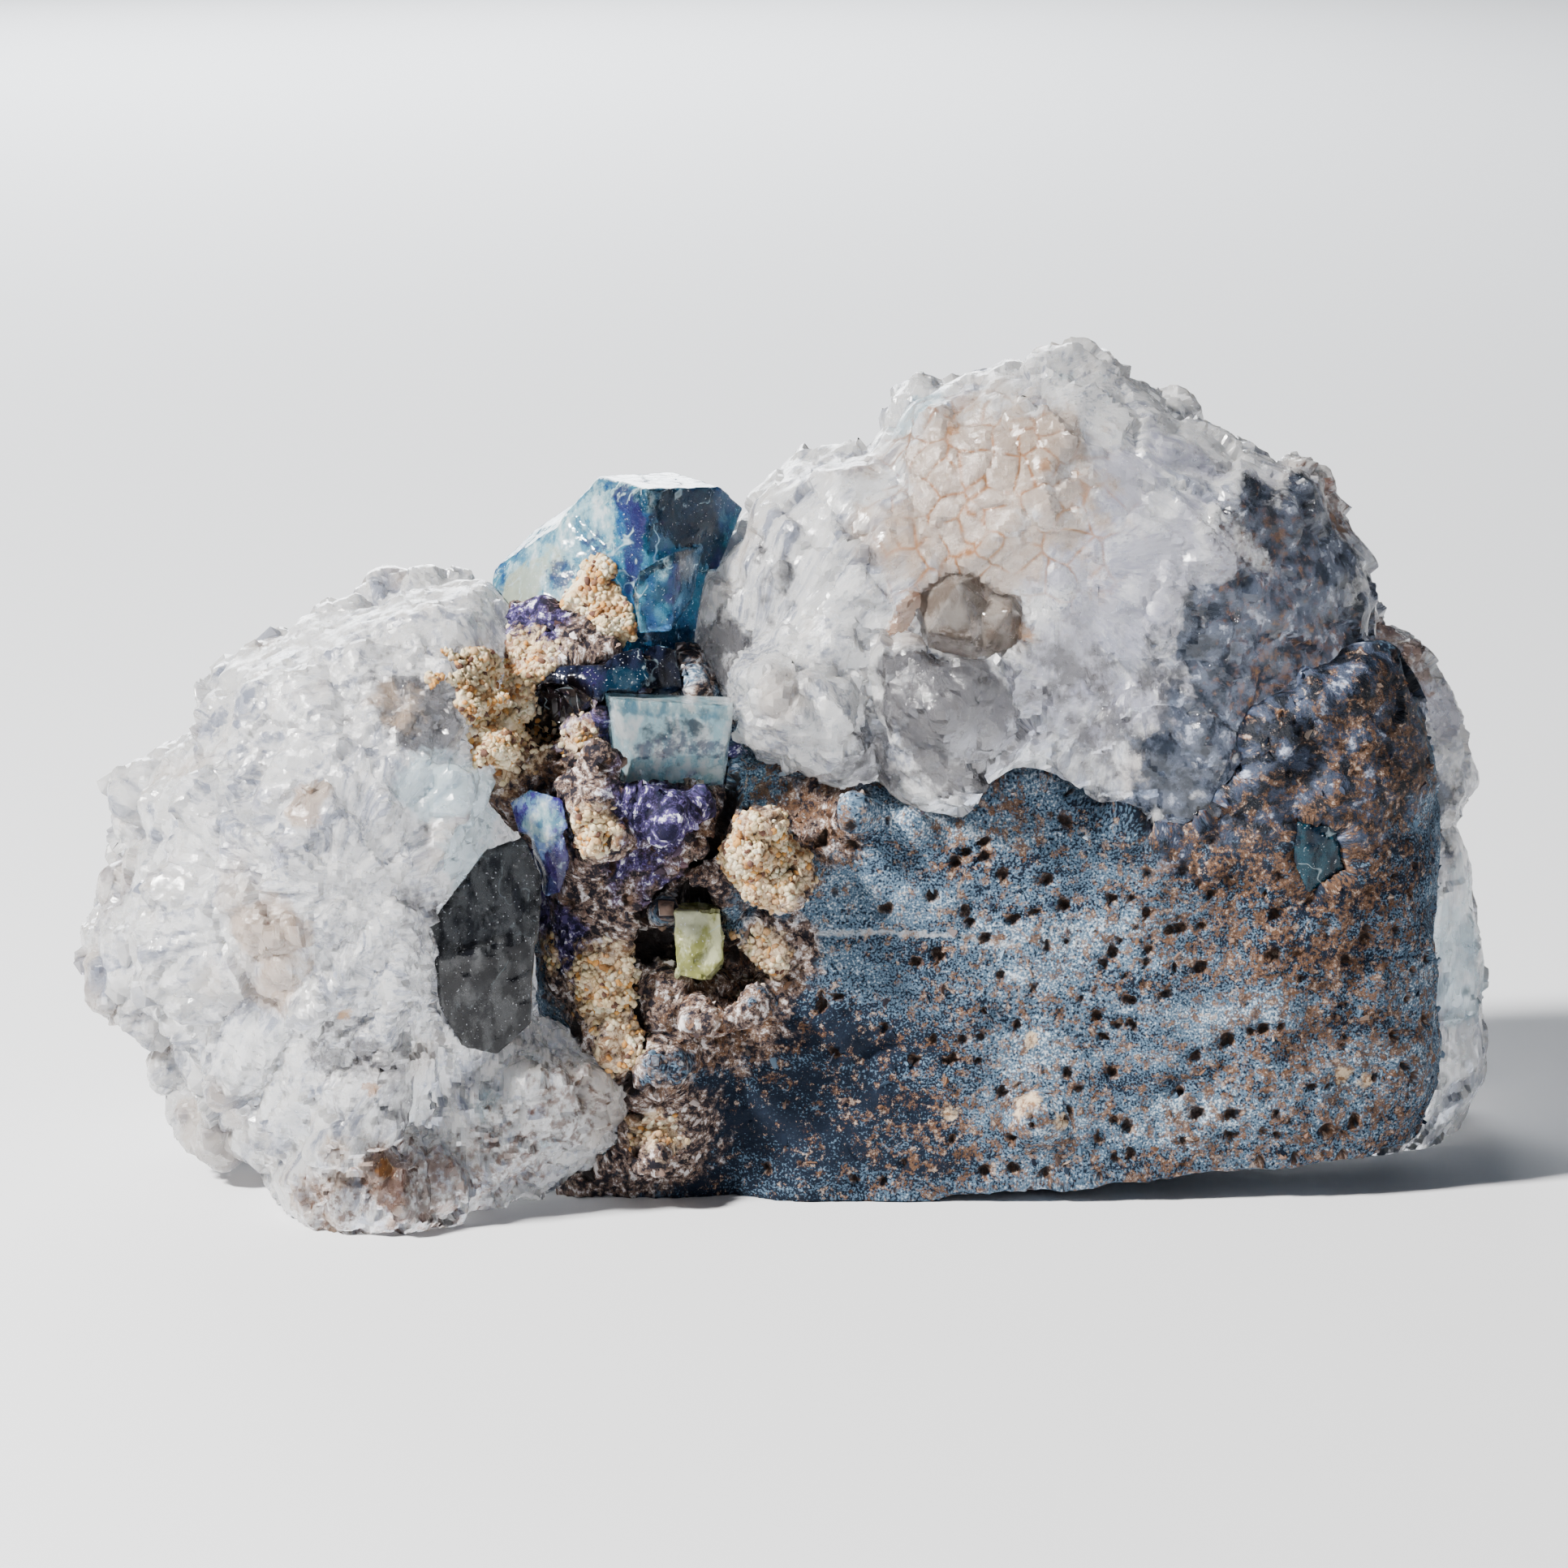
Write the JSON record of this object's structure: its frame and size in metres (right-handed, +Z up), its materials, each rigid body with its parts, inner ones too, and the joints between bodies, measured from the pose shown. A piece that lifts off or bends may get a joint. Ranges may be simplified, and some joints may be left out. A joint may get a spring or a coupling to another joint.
{
  "type": "fluorite with quartz specimen",
  "caption": "Hand specimen of milky quartz masses and granular rock, with blue and violet fluorite crystals in the saddle between them. Stands on its flat base.",
  "frame": {"origin": "middle of the bounding box at the flat base", "axes": "+Z up, +X to the viewer's right along the specimen's width, the front faces -Y"},
  "size_m": [0.0709, 0.0332, 0.0415],
  "materials": {
    "milky_quartz": "milky, vitreous, finely striated",
    "rock": "granular, matt to glassy grains",
    "fluorite_crown": "clear, vitreous, zoned teal and violet",
    "fluorite_block": "clear, vitreous, pale blue with a violet band",
    "fluorite_dark": "clear, vitreous, dark violet",
    "fluorite_violet": "clear, vitreous, light blue and violet",
    "smoky_fluorite": "clear, vitreous, smoky grey",
    "smoky_quartz": "clear, vitreous, pale brown",
    "yellow_crystal": "translucent, pale yellow-green",
    "fluorite_window": "clear, vitreous, dark teal",
    "limonite": "earthy, matt, fine-grained"
  },
  "bodies": {
    "root": {"quartz_left": "milky_quartz", "quartz_dome": "milky_quartz", "rock": "rock", "fluorite_crown": "fluorite_crown", "fluorite_block": "fluorite_block", "fluorite_dark": "fluorite_dark", "fluorite_violet": "fluorite_violet", "smoky_pocket": "smoky_fluorite", "smoky_quartz": "smoky_quartz", "yellow_crystal": "yellow_crystal", "fluorite_window": "fluorite_window", "limonite_left": "limonite", "limonite_top": "limonite"}
  },
  "joints": []
}
